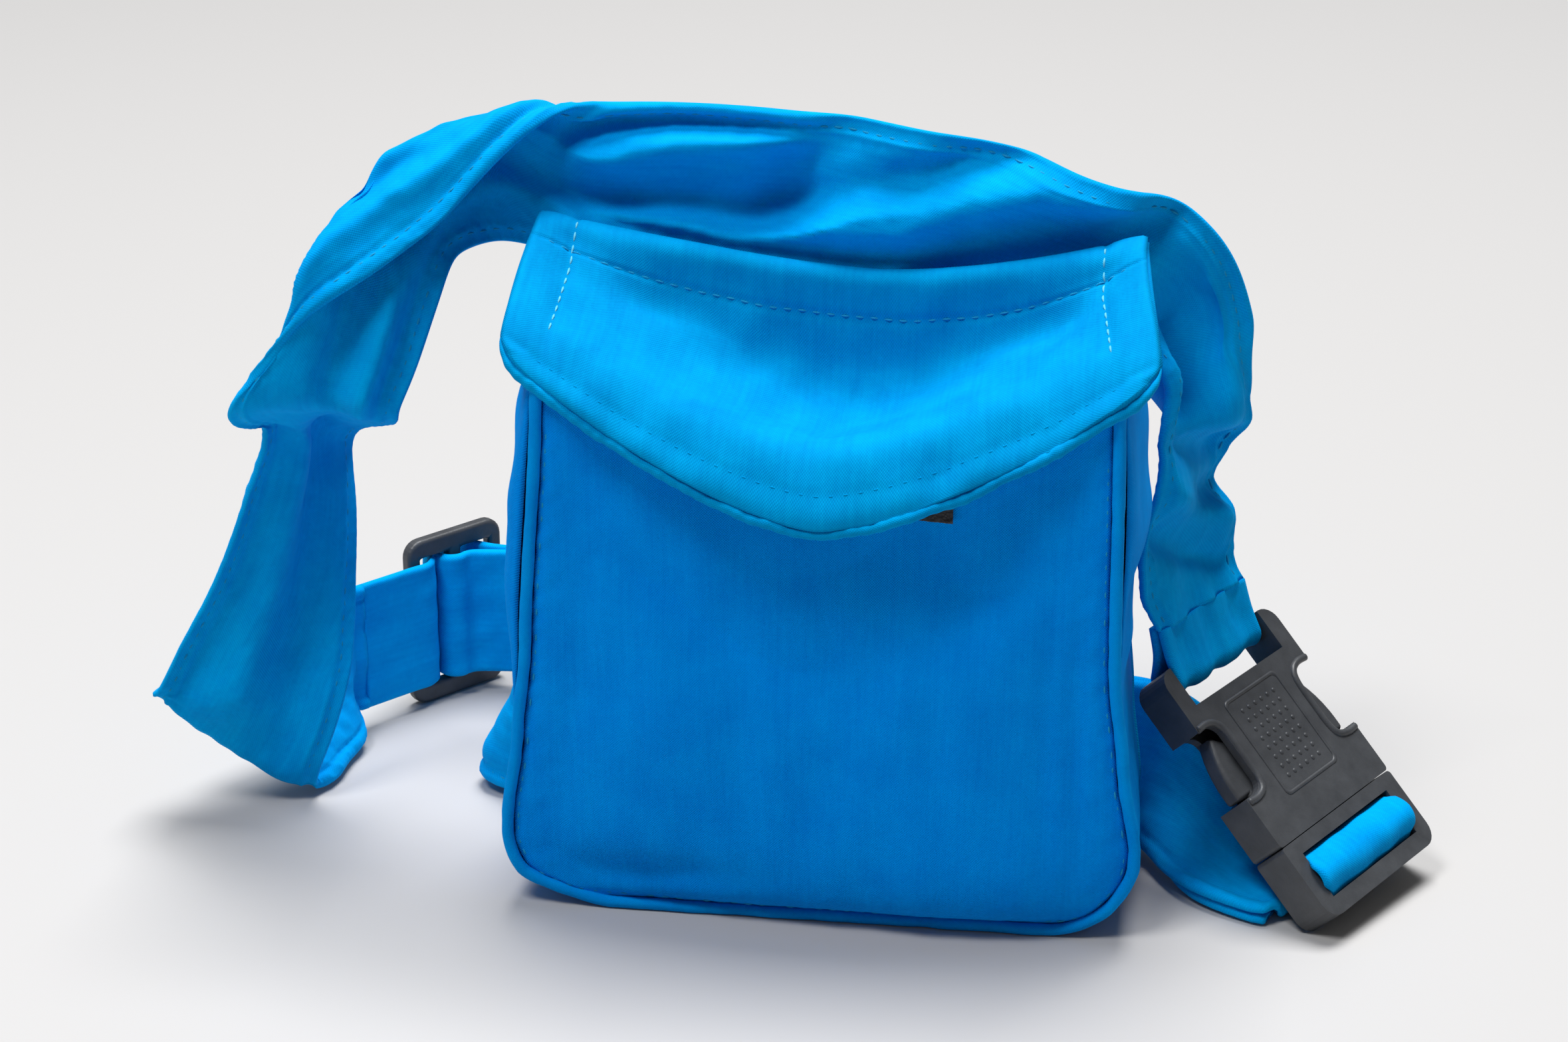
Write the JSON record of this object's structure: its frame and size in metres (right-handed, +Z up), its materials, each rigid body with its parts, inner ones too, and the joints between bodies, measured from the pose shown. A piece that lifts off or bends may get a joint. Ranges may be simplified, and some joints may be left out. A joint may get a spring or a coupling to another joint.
{
  "type": "belt pouch",
  "caption": "Small soft cloth pouch with a pointed flap on a folded cloth belt, with a side-release buckle and a belt slider.",
  "frame": {"origin": "centre of the pouch's flat base, on the surface that it stands on", "axes": "+X along the pouch's width towards the buckle, +Y towards the side worn against the body, +Z up"},
  "size_m": [0.2808, 0.1229, 0.1637],
  "materials": {
    "cloth": "soft brushed cotton, bright blue",
    "lining": "plain woven cotton, blue",
    "piping": "corded cotton, bright blue",
    "belt": "soft doubled cotton, bright blue",
    "patch": "woven hook and loop, black",
    "plastic": "moulded plastic, black, fine satin grain"
  },
  "bodies": {
    "pouch": {"front_panel": "cloth", "back_panel": "cloth", "side_gusset": "cloth", "front_piping": "piping", "lining": "lining", "mouth_hem": "cloth", "loop_patch": "patch", "belt_right_fall": "belt", "belt_back_band": "belt", "belt_left_arch": "belt", "belt_left_hang": "belt", "belt_turn_back": "belt", "belt_strap_run": "belt", "belt_return_run": "belt", "belt_strap_lead": "belt", "belt_return_lead": "belt", "belt_female_loop": "belt", "buckle_female": "plastic"},
    "flap": {"flap_outer": "cloth", "flap_lining": "lining", "flap_rim": "piping", "hook_patch": "patch"},
    "plug": {"buckle_male": "plastic", "male_tongue": "plastic", "belt_male_loop": "belt"},
    "prong_left": {"male_prong_left": "plastic"},
    "prong_right": {"male_prong_right": "plastic"},
    "slider": {"slider_frame": "plastic", "belt_slider_weave": "belt", "belt_end_loop": "belt"}
  },
  "joints": [
    {"name": "flap_hinge", "type": "hinge", "parent": "pouch", "child": "flap", "pos_m": [0, 0.0201, 0.1404], "axis": [-1, 0, 0], "range_deg": [0, 90]},
    {"name": "buckle_release", "type": "slide", "parent": "pouch", "child": "plug", "axis": [0.6231, -0.3613, -0.6937], "range_m": [0, 0.028], "deforming": ["belt_strap_lead", "belt_return_lead", "male_prong_left", "male_prong_right"]},
    {"name": "prong_left_squeeze", "type": "hinge", "parent": "plug", "child": "prong_left", "pos_m": [0.09437, -0.00079, 0.01718], "axis": [-0.5621, 0.4099, -0.7184], "range_deg": [0, 15], "stiffness_Nm_per_rad": 0.1},
    {"name": "prong_right_squeeze", "type": "hinge", "parent": "plug", "child": "prong_right", "pos_m": [0.10856, 0.02107, 0.01854], "axis": [0.5621, -0.4099, 0.7184], "range_deg": [0, 15], "stiffness_Nm_per_rad": 0.1},
    {"name": "slider_shift", "type": "slide", "parent": "pouch", "child": "slider", "axis": [0.6561, 0.7547, 0], "range_m": [-0.01, 0.01], "deforming": ["belt_slider_weave", "belt_end_loop"]}
  ],
  "couplings": [
    {"joint": "prong_right_squeeze", "follows": "prong_left_squeeze", "ratio": 1}
  ]
}
